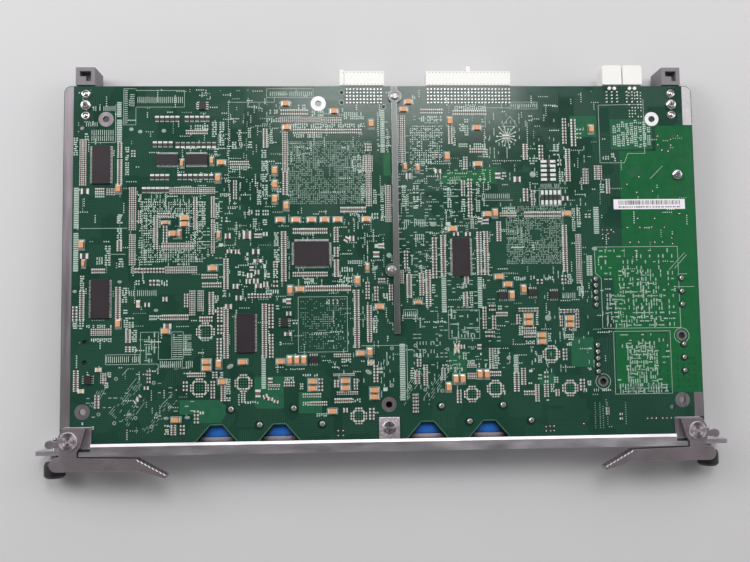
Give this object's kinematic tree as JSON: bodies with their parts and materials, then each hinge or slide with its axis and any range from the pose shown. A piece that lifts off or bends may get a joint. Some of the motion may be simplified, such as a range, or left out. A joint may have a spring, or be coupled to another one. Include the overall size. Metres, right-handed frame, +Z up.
{
  "type": "gpon service board",
  "caption": "Line card for an optical access shelf: board lying solder side up on a long front panel, with fibre receptacles, ejector levers, captive screws and backplane connectors.",
  "frame": {"origin": "under the middle of the whole card, at the level of the front panel's lower edge", "axes": "+X along the front panel, +Y from the panel to the backplane connectors, +Z up, out of the solder face"},
  "size_m": [0.3954, 0.2366, 0.0245],
  "materials": {
    "panel_aluminium": "brushed",
    "lever_metal": "cast and coated",
    "turned_steel": "turned",
    "bracket_steel": "satin",
    "block_aluminium": "satin",
    "knob_plastic": "moulded",
    "board_laminate": "solder mask",
    "guide_plastic": "moulded",
    "connector_white": "moulded",
    "contact_tin": "tinned",
    "receptacle_blue": "moulded",
    "shield_metal": "nickel plated",
    "light_clear": "clear moulded",
    "chip_black": "moulded",
    "capacitor_orange": "moulded",
    "sink_aluminium": "anodised",
    "brick_black": "satin",
    "can_aluminium": "drawn",
    "choke_green": "coated"
  },
  "bodies": {
    "card": {"front_panel": "panel_aluminium", "circuit_board": "board_laminate", "panel_screws": "turned_steel", "captive_ferrules": "turned_steel", "middle_bracket": "bracket_steel", "middle_rivet": "turned_steel", "stiffener_bar": "bracket_steel", "stiffener_rivets": "turned_steel", "guide_eyelets": "contact_tin", "board_screws": "turned_steel", "board_nut": "turned_steel", "signal_connector_a": "connector_white", "signal_connector_b": "connector_white", "signal_tails_a": "contact_tin", "signal_tails_b": "contact_tin", "power_connector_1": "connector_white", "power_connector_2": "connector_white", "power_tails": "contact_tin", "light_guides": "light_clear", "memory_chips": "chip_black", "driver_chips": "chip_black", "flat_pack_chip": "chip_black", "small_chips": "chip_black", "chip_capacitors": "capacitor_orange", "ball_arrays": "chip_black", "heat_sinks": "sink_aluminium", "power_module_1": "brick_black", "power_module_2": "brick_black", "solder_joints": "contact_tin", "bulk_capacitors": "can_aluminium", "filter_choke": "choke_green", "pivot_pin_left": "turned_steel", "corner_bracket_left": "bracket_steel", "corner_block_left": "block_aluminium", "guide_block_left": "guide_plastic", "pivot_pin_right": "turned_steel", "corner_bracket_right": "bracket_steel", "corner_block_right": "block_aluminium", "guide_block_right": "guide_plastic", "optical_module_1": "shield_metal", "port_shell_1": "shield_metal", "fibre_receptacle_1": "receptacle_blue", "optical_module_2": "shield_metal", "port_shell_2": "shield_metal", "fibre_receptacle_2": "receptacle_blue", "optical_module_3": "shield_metal", "port_shell_3": "shield_metal", "fibre_receptacle_3": "receptacle_blue", "optical_module_4": "shield_metal", "port_shell_4": "shield_metal", "fibre_receptacle_4": "receptacle_blue"},
    "lever_left_body": {"lever_left": "lever_metal"},
    "lever_right_body": {"lever_right": "lever_metal"},
    "captive_left_body": {"captive_screw_left": "turned_steel", "captive_knob_left": "knob_plastic"},
    "captive_right_body": {"captive_screw_right": "turned_steel", "captive_knob_right": "knob_plastic"}
  },
  "joints": [
    {"name": "lever_left_hinge", "type": "hinge", "parent": "card", "child": "lever_left_body", "pos_m": [-0.1776, -0.0965, 0.0226], "axis": [0, 0, -1], "range_deg": [0, 60]},
    {"name": "captive_left_turn", "type": "hinge", "parent": "card", "child": "captive_left_body", "pos_m": [-0.1895, -0.1023, 0.0085], "axis": [0, 1, 0], "continuous": true},
    {"name": "lever_right_hinge", "type": "hinge", "parent": "card", "child": "lever_right_body", "pos_m": [0.1776, -0.0965, 0.0226], "axis": [0, 0, 1], "range_deg": [0, 60]},
    {"name": "captive_right_turn", "type": "hinge", "parent": "card", "child": "captive_right_body", "pos_m": [0.1895, -0.1023, 0.0085], "axis": [0, 1, 0], "continuous": true}
  ]
}
